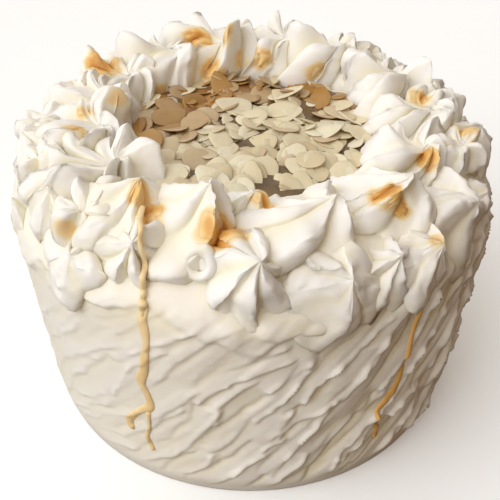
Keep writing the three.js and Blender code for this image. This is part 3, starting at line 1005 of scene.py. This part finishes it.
def dollop_mesh(shape, where):
    """Points, faces and groove values of one dollop; the groove values paint shade into the frosting's
    colour and let grooves hold more caramel.
    """
    rings, groove = dollop_rings(shape)
    ends = np.array([rings[0].mean(0), rings[-1].mean(0) + (0, 0, 0.3)])
    rings = place_points(rings, *where)
    foot, tip = place_points(ends, *where)
    points, faces = closed_rings(rings, foot, tip)
    return points, faces, np.append(groove.reshape(-1), (0, 0))


def dollop_meshes():
    """Mesh of each dollop's node, with the ruffle, frill or small dollop that lies beside it."""
    shapes = {}
    for index in range(SWIRL_COUNT):
        name = f"swirl_{index + 1:02d}"
        shapes[name] = [swirl_shape(index)]
        if index >= len(FRONT_SWIRLS):
            shapes[name].append(frill_shape(index))
        if index == GAP_SWIRL:
            shapes[name].append(gap_shape())
    for index in range(STAR_COUNT):
        name = f"star_{index + 1:02d}"
        shapes[name] = [star_shape(index)]
        if index > 0:
            shapes[name].append(ruffle_shape(index))
    return {name: joined([dollop_mesh(*shape) for shape in group]) for name, group in shapes.items()}


def curl_mesh(points):
    """A ring of frosting that lies on the shoulder at a pixel of the photograph, thicker on one side."""
    centre = visible_place(points, project(points), CURL_PIXEL)
    turn = math.atan2(centre[1], centre[0])
    outward = np.array([0.8 * math.cos(turn), 0.8 * math.sin(turn), 0.6])
    across = np.array([-math.sin(turn), math.cos(turn), 0])
    up = np.cross(outward, across)
    around = circle(CURL_COLUMNS)[:, None, None]
    section = circle(CURL_SIDES)[None, :, None]
    spoke = np.cos(around) * across + np.sin(around) * up
    thick = CURL_THICKNESS * (1 + 0.3 * np.cos(around - 1))
    rings = centre + spoke * (CURL_RADIUS + thick * np.cos(section)) + outward * thick * np.sin(section)
    rings = rings + push(rings, *CURL_LUMPS)
    count = CURL_COLUMNS * CURL_SIDES
    faces = np.array(ring_faces(CURL_COLUMNS + 1, CURL_SIDES))[:, ::-1] % count
    return rings.reshape(-1, 3), faces.tolist(), np.zeros(count)


def painted_contact_shade(meshes, name):
    """1 where a piece meets another one, falling to 0 a few millimetres away: the mask of the painted shade
    along the seams.
    """
    points = meshes[name][0]
    low, high = points.min(0) - CONTACT_REACH, points.max(0) + CONTACT_REACH
    others = np.vstack([mesh[0] for other, mesh in meshes.items() if other != name])
    # Every second point is near enough to the surface between them.
    others = others[((others > low) & (others < high)).all(1)][::2]
    tree = KDTree(len(others))
    for index, place in enumerate(others.tolist()):
        tree.insert(place, index)
    tree.balance()
    apart = np.full(len(points), CONTACT_REACH)
    near = ((points > others.min(0) - CONTACT_REACH) & (points < others.max(0) + CONTACT_REACH)).all(1)
    apart[near] = [tree.find(place)[2] for place in points[near].tolist()]
    return 1 - smoothstep(apart, CONTACT_FULL, CONTACT_REACH)


# Caramel.

def pool_centres(points):
    """Places of the pools: those of the photograph, and drawn ones on the outer side of the back."""
    seen = project(points)
    centres = [(visible_place(points, seen, pool[:2]), *pool[2:]) for pool in POOLS]
    outside = np.hypot(points[:, 0], points[:, 1]) > BACK_POOL_RADIUS
    behind = points[outside & (points[:, 1] > BACK_POOL_Y) & (points[:, 2] > BACK_POOL_HEIGHT)]
    for index in range(BACK_POOLS):
        place = behind[int(draw(index, 91) * len(behind))]
        centres.append((place, 6 + 5 * draw(index, 92), 0.5 + 0.4 * draw(index, 93)))
    return centres


def caramel_amount(points, groove, centres):
    """How much caramel lies on each point, from 0 to about 1; grooves take more of it."""
    amount = np.zeros(len(points))
    ragged = points + push(points, *POOL_LUMPS)
    hold = 0.72 + 0.4 * smoothstep(groove, 0.1, 0.7)
    for place, radius, strength in centres:
        share = np.linalg.norm(ragged - place, axis=1) / radius
        amount = np.maximum(amount, strength * hold * (1 - smoothstep(share, 0.35, 1.0)))
    return amount


def point_normals(points, quads):
    """Outward direction at each point, from the quads round it."""
    across = points[quads[:, 2]] - points[quads[:, 0]]
    along = points[quads[:, 3]] - points[quads[:, 1]]
    normal = np.cross(across, along)
    total = np.zeros_like(points)
    for corner in range(4):
        np.add.at(total, quads[:, corner], normal)
    return unit(total)


def rim_faces(quads, count):
    """Faces that close the rim between an upper sheet of quads and a lower one, count points later."""
    edges = np.concatenate([quads[:, [corner, (corner + 1) % 4]] for corner in range(4)]).tolist()
    known = set(map(tuple, edges))
    outer = [edge for edge in edges if (edge[1], edge[0]) not in known]
    return [[second, first, first + count, second + count] for first, second in outer]


def caramel_sheet(points, faces, amount):
    """A closed sheet of caramel where there is enough; it dips under the frosting at its edge."""
    quads = np.array([face for face in faces if len(face) == 4])
    chosen = quads[(amount[quads] > SHEET_EDGE - SHEET_MARGIN).all(1)]
    if len(chosen) == 0:
        return None
    used, local = np.unique(chosen, return_inverse=True)
    local = local.reshape(-1, 4)
    normals = point_normals(points, quads)[used]
    over = amount[used] - SHEET_EDGE
    top = points[used] + normals * (SHEET_THICKNESS * over)[:, None]
    bottom = points[used] - normals * SHEET_SUNK
    count = len(used)
    sheet = local.tolist() + (local[:, ::-1] + count).tolist() + rim_faces(local, count)
    return np.vstack([top, bottom]), sheet, np.tile(np.clip(over / SHEET_FULL, 0, 1), 2)


def side_radius(rings, angle, height):
    """Radius of the frosted side at an angle and a height."""
    levels = rings[:SIDE_ROWS, 0, 2]
    radii = np.hypot(rings[:SIDE_ROWS, :, 0], rings[:SIDE_ROWS, :, 1])
    row = np.interp(height, levels, np.arange(SIDE_ROWS))
    column = (angle % (2 * math.pi)) * BODY_COLUMNS / (2 * math.pi)
    low_row = np.clip(np.floor(row).astype(int), 0, SIDE_ROWS - 2)
    low_column = np.floor(column).astype(int) % BODY_COLUMNS
    up, over = row - low_row, column - np.floor(column)
    following = (low_column + 1) % BODY_COLUMNS
    lower = radii[low_row, low_column] * (1 - over) + radii[low_row, following] * over
    upper = radii[low_row + 1, low_column] * (1 - over) + radii[low_row + 1, following] * over
    return lower * (1 - up) + upper * up


def run_path(rings, bends):
    """Angle, height and width along a run, through its bends as the camera sees them on the side."""
    side = rings[:SIDE_ROWS].reshape(-1, 3)
    front = side[side[:, 1] < 0]
    seen = project(front)
    knots = [(*visible_place(front, seen, bend[:2]), bend[2]) for bend in bends]
    x, y, height, width = smooth_path(knots, RUN_STEPS * len(bends)).T
    return np.unwrap(np.arctan2(y, x)), height, width


def run_mesh(rings, bends, seed, tone):
    """A run of caramel that follows the frosted side through the bends, with a round end."""
    angle, height, width = run_path(rings, bends)
    ahead = unit(np.stack([np.gradient(angle) * SIDE_RADIUS, np.gradient(height)], -1))
    place = np.linspace(0, 1, len(height))
    ends = np.sqrt(np.clip(np.minimum(place, 1 - place) / RUN_END, 0, 1))
    wobble = 0.16 * noise(np.stack([height, angle * 40, height * 0 + seed], -1), 5, 51)
    half = 0.5 * width * ends * (1 + wobble) + 0.05
    thick = RUN_THICKNESS * ends * (0.75 + 0.45 * smoothstep(place, 0.9, 1)) + 0.02
    turn = circle(RUN_SIDES)
    over = np.cos(turn) * half[:, None]
    out = np.where(np.sin(turn) > 0, np.sin(turn), 0.6 * np.sin(turn)) * thick[:, None]
    ring_angle = angle[:, None] - ahead[:, 1:] * over / SIDE_RADIUS
    ring_height = height[:, None] + ahead[:, :1] * over
    radius = side_radius(rings, ring_angle, ring_height) + out - RUN_SUNK
    points, faces = capped_rings(polar(radius, ring_angle, ring_height))
    # Darker along the run, at its round end and by its tone; the right run's tone is painted shade.
    depth = tone + 0.1 * place + 0.3 * smoothstep(place, 0.93, 1) + 0.4 * wobble
    return points, faces, np.append(np.repeat(depth, RUN_SIDES), (0.3, 0.6))


def neighbours(values):
    """The values before, at and after each place of a path."""
    padded = np.vstack([values[:1], values, values[-1:]])
    return padded[:-2], padded[1:-1], padded[2:]


def softened(values, passes):
    """A path with each place moved towards its neighbours, several times."""
    for _ in range(passes):
        before, middle, after = neighbours(values)
        values = (before + 2 * middle + after) / 4
    return values


def border_path(points, bends):
    """A smooth path over the dollops through the bends, lifted where it would sink into them."""
    seen = project(points)
    found = np.array([visible_place(points, seen, bend[:2]) for bend in bends])
    camera = np.array([0, -CAMERA_BACK, CAMERA_HEIGHT])
    places = softened(found, PATH_PASSES)
    towards = camera - places
    far = np.linalg.norm(towards, axis=1, keepdims=True)
    lift = np.maximum(0, far - np.linalg.norm(camera - found, axis=1, keepdims=True))
    for _ in range(LIFT_REACH):
        lift = np.maximum.reduce(neighbours(lift))
    return places + softened(lift, LIFT_PASSES) * towards / far


def border_run_mesh(points):
    """The run of caramel that lies over the dollops, as the camera sees them."""
    bends = smooth_path(BORDER_RUN, BORDER_STEPS * len(BORDER_RUN))
    places = border_path(points, bends)
    aside = np.array([-1.0, 0.0, 0.0])
    outward = unit(np.cross(aside, np.gradient(places, axis=0)))
    turn = circle(BORDER_SIDES)[::-1, None]
    half = (0.5 * bends[:, 2])[:, None, None]
    rings = places[:, None] + half * np.cos(turn) * aside
    rings = rings + (0.5 + 0.7 * np.sin(turn)) * outward[:, None]
    points, faces = capped_rings(rings)
    return points, faces, np.full(len(points), BORDER_TONE)


def build_frosting():
    """Body and dollops with the caramel's stains, and the caramel itself."""
    rings = body_rings()
    meshes = {"cake_body": body_mesh(rings), **dollop_meshes()}
    meshes[CURL_STAR] = joined([meshes[CURL_STAR], curl_mesh(all_points(meshes))])
    centres = pool_centres(all_points(meshes))
    sheets = []
    for name, (points, faces, groove) in meshes.items():
        amount = caramel_amount(points, groove, centres)
        # Painted shade for the frosting's colour: deep in the grooves and where pieces meet.
        shade = np.maximum(groove, CONTACT_SHADE * painted_contact_shade(meshes, name))
        attributes = {"caramel": amount, "groove": shade}
        if name == "cake_body":
            add_piece("frosted_cake", points, faces, SPREAD_CREAM, [name], attributes)
            continue
        add_piece("piped_" + name, points, faces, PIPED_CREAM, [name], attributes)
        sheet = caramel_sheet(points, faces, amount)
        if sheet:
            sheets.append(sheet)
    runs = [run_mesh(rings, bends, seed, tone) for seed, (bends, tone) in enumerate(SIDE_RUNS)]
    runs.append(border_run_mesh(all_points(meshes)))
    for name, parts in (("caramel_pools", sheets), ("caramel_runs", runs)):
        points, faces, depth = joined(parts)
        add_piece(name, points, faces, CARAMEL, (), {"depth": depth})


# Almonds.

def soaked_share(x, y):
    """How far the almonds stand in caramel: from 0 at the front to 1 at the left and the back. The darkening
    this brings to the flakes is partly painted shade.
    """
    return np.maximum(smoothstep(0.5 * y - 0.85 * x, 8, 36), smoothstep(y, 22, 40))


def syrup_height(x, y):
    """Top of the syrup: a low mound that stands higher where the almonds are soaked."""
    share = np.hypot(x, y) / BED_RADIUS
    mound = CAKE_HEIGHT + 0.8 + BED_RISE * (1 - share ** 2)
    places = np.stack([x, y, 0 * x + CAKE_HEIGHT], -1)
    stand = soaked_share(x, y) * (SYRUP_LEVEL + lumps(places, *SYRUP_WAVES))
    return mound + stand + lumps(places, *SYRUP_LUMPS)


def build_bed():
    """The mound of syrup that the flakes lie in."""
    angle = circle(BED_COLUMNS)
    rings = [polar(BED_RADIUS, angle, CAKE_HEIGHT - 0.5)]
    for share in np.linspace(1, 0.02, BED_ROWS):
        radius = BED_RADIUS * share
        height = syrup_height(radius * np.cos(angle), radius * np.sin(angle))
        rings.append(polar(radius, angle, height))
    rings = np.array(rings)
    points, faces = capped_rings(rings)
    pool = np.append(soaked_share(rings[..., 0], rings[..., 1]), (0, 0))
    add_piece("almond_syrup", points, faces, SYRUP, ["almond_bed"], {"pool": pool})


def flake_rings(index):
    """An egg-shaped slice with a rounded edge, lying flat and a little bent, with its length and width."""
    broken = FLAKE_BROKEN[int(len(FLAKE_BROKEN) * draw(index, 37))]
    length = FLAKE_LENGTH * broken * (1 + 0.14 * spread(index, 31))
    width = FLAKE_WIDTH * broken * (1 + 0.16 * spread(index, 32))
    turn = circle(FLAKE_SIDES)
    ragged = 1 + 0.03 * np.sin(3 * turn + 6 * draw(index, 33))
    ragged = ragged + 0.02 * np.sin(7 * turn + 6 * draw(index, 34))
    x = 0.5 * length * np.cos(turn) * ragged
    y = 0.5 * width * np.sin(turn) * (1 - 0.24 * np.cos(turn)) * ragged
    bend = 0.9 * spread(index, 35)
    rings = []
    for share, level in FLAKE_EDGE:
        z = level * FLAKE_THICKNESS + bend * (share * x / length) ** 2 * 4
        rings.append(np.stack([share * x, share * y, z], -1))
    return np.array(rings), length, width


def settle(heights, grid, x, y, reach):
    """Plane on which a flake comes to lie, from the heap's heights under it."""
    under = np.hypot(grid[0] - x, grid[1] - y) < reach
    px, py, pz = grid[0][under] - x, grid[1][under] - y, heights[under]
    features = np.stack([px / reach, py / reach, np.ones_like(px)], -1)
    plane = np.linalg.lstsq(features, pz, rcond=None)[0]
    for _ in range(SETTLE_STEPS):
        short = pz - features @ plane
        worst = np.argmax(short)
        if short[worst] < SETTLED:
            break
        support = features[worst]
        plane = plane + short[worst] * support / (support @ support)
    plane[2] += max(0, np.max(pz - features @ plane))
    return plane[0] / reach, plane[1] / reach, plane[2], under


def flake_place(index):
    """Where a flake lies on the bed: evenly spread, in a mixed order."""
    order = (index * FLAKE_ORDER) % FLAKE_COUNT
    radius = (BED_RADIUS - 1) * math.sqrt((order + 0.5) / FLAKE_COUNT)
    angle = order * math.pi * (3 - math.sqrt(5)) + 0.5 * spread(index, 36)
    return radius * math.cos(angle), radius * math.sin(angle)


def flake_lean(index, slope_x, slope_y, y):
    """Slopes of a flake: as it is carried, with a draw, and turned up to the front in the front half."""
    front = float(smoothstep(-y, 5, 45))
    slope_x = slope_x + 0.3 * spread(index, 41)
    slope_y = slope_y + 0.3 * spread(index, 42) + 0.45 * front
    return max(-STEEPEST, min(STEEPEST, slope_x)), max(-STEEPEST, min(STEEPEST, slope_y))


def lay_flake(heights, grid, index, x, y):
    """Points and faces of a flake laid on the heap, which grows by it."""
    rings, length, width = flake_rings(index)
    slope_x, slope_y, level, under = settle(heights, grid, x, y, FLAKE_REST * (length + width) / 2)
    slope_x, slope_y = flake_lean(index, slope_x, slope_y, y)
    px, py = turned(rings[..., 0], rings[..., 1], 2 * math.pi * draw(index, 39))
    flat = 1 / math.sqrt(1 + slope_x ** 2 + slope_y ** 2)
    pz = rings[..., 2] + level + 0.5 * FLAKE_THICKNESS + slope_x * px * flat + slope_y * py * flat
    lying = level + FLAKE_THICKNESS + slope_x * (grid[0] - x) + slope_y * (grid[1] - y)
    heights[under] = np.maximum(heights[under], np.minimum(lying[under], level + FLAKE_THICKNESS))
    return capped_rings(np.stack([x + px * flat ** 0.5, y + py * flat ** 0.5, pz], -1))


def skin_and_edge_shade_values(index, count):
    """Brown of a flake's edge: painted shade on every flake, stronger on one side where skin is left on it.
    """
    rim = np.zeros(count)
    skin = np.tile(0.5 + 0.5 * np.sin(circle(FLAKE_SIDES) + 6 * draw(index, 49)), 2)
    # Every flake's edge gets 0.68 of painted shade; skin adds to it on one side of half of them.
    rim[2 * FLAKE_SIDES:4 * FLAKE_SIDES] = 0.68 + (0.5 * skin if draw(index, 45) < 0.5 else 0)
    return rim


def glaze_and_shade_value(index, x, y):
    """How far a flake is soaked in caramel, which darkens it; at the left and the back the darkening also
    paints the shade there.
    """
    soaked = float(soaked_share(x, y)) * float(smoothstep(draw(index, 46), 0.0, 0.7))
    if draw(index, 48) < 0.1:
        soaked = soaked + 0.4
    return min(1, soaked)


def build_almonds():
    """The heap of flakes, laid one after another on a grid of heights."""
    span = np.arange(-BED_RADIUS - 8, BED_RADIUS + 9, 1.0)
    grid = np.meshgrid(span, span)
    heights = syrup_height(*grid) - SUNK
    flakes, skins_and_edge_shades, glazes_and_shades = [], [], []
    for index in range(FLAKE_COUNT):
        x, y = flake_place(index)
        points, faces = lay_flake(heights, grid, index, x, y)
        count = len(points)
        flakes.append((points, faces, np.full(count, draw(index, 44))))
        skins_and_edge_shades.append(skin_and_edge_shade_values(index, count))
        glazes_and_shades.append(np.full(count, glaze_and_shade_value(index, x, y)))
    points, faces, tone = joined(flakes)
    attributes = {"tone": tone, "rim": np.concatenate(skins_and_edge_shades), "glaze_and_shade": np.concatenate(glazes_and_shades)}
    add_piece("almond_flakes", points, faces, ALMOND, ["almond_bed"], attributes)


# Setting.

def build_floor():
    """A wide pale ground that throws no light back on the cake."""
    mesh = bpy.data.meshes.new("floor")
    signs = ((-1, -1), (1, -1), (1, 1), (-1, 1))
    corners = [(x * FLOOR_REACH, y * FLOOR_REACH, FLOOR_LEVEL) for x, y in signs]
    mesh.from_pydata(corners, [], [[0, 1, 2, 3]])
    mesh.materials.append(floor_material())
    floor = linked("floor", mesh)
    floor.visible_diffuse = False
    floor.visible_glossy = False


def build_camera():
    data = bpy.data.cameras.new("photo_camera")
    data.sensor_width = SENSOR
    data.lens = FOCAL * SENSOR / FRAME_SIDE
    camera = linked("photo_camera", data)
    camera.location = (0, -CAMERA_BACK * MM, CAMERA_HEIGHT * MM)
    camera.rotation_euler = (math.pi / 2 - CAMERA_PITCH, 0, 0)
    bpy.context.scene.camera = camera
    bpy.context.scene.view_settings.view_transform = "Standard"


def build_key(towards):
    """A sun with a wide disc, so that its shadows are soft."""
    data = bpy.data.lights.new("key_light", "SUN")
    data.energy = KEY_STRENGTH
    data.angle = KEY_SPREAD
    linked("key_light", data).rotation_euler = towards.to_track_quat("Z", "Y").to_euler()


def build_sky(towards):
    """A sky that is bright towards the key and tinted on the right, with fill from above and behind."""
    world = bpy.data.worlds.new("studio")
    world.use_nodes = True
    tree = world.node_tree
    direction = tree.nodes.new("ShaderNodeTexCoord").outputs["Generated"]
    facing = add_node(tree, "VectorMath", {0: direction, 1: towards})
    facing.operation = "DOT_PRODUCT"
    share = mapped(tree, facing.outputs["Value"], (-1.0, 1.0), (0.0, 1.0))
    sky = ramp(tree, share, ((0.22, SKY_DIM), (0.5, SKY_MIDDLE), (0.75, SKY_HALF), (1.0, SKY_BRIGHT)))
    split = add_node(tree, "SeparateXYZ", {"Vector": direction}).outputs
    across = mapped(tree, split["X"], (-1.0, 1.0), (0.0, 1.0))
    tint = ramp(tree, across, ((0.45, WHITE), (0.6, SKY_SIDE_TINT), (0.8, SKY_RIGHT_TINT)))
    above = ramp(tree, split["Z"], ((0.65, BLACK), (1.0, SKY_ZENITH)))
    behind = ramp(tree, split["Y"], ((0.3, BLACK), (1.0, SKY_BACK)))
    tinted = blended(tree, 1.0, sky, tint, "MULTIPLY")
    fill = blended(tree, 1.0, above, behind, "ADD")
    feed(tree, tree.nodes["Background"], {"Color": blended(tree, 1.0, tinted, fill, "ADD")})
    bpy.context.scene.world = world


def build_light():
    level = math.cos(KEY_ELEVATION)
    x, y = level * math.cos(KEY_AZIMUTH), level * math.sin(KEY_AZIMUTH)
    towards = Vector((x, y, math.sin(KEY_ELEVATION)))
    build_key(towards)
    build_sky(towards)


build_camera()
build_floor()
build_light()
build_frosting()
build_bed()
build_almonds()
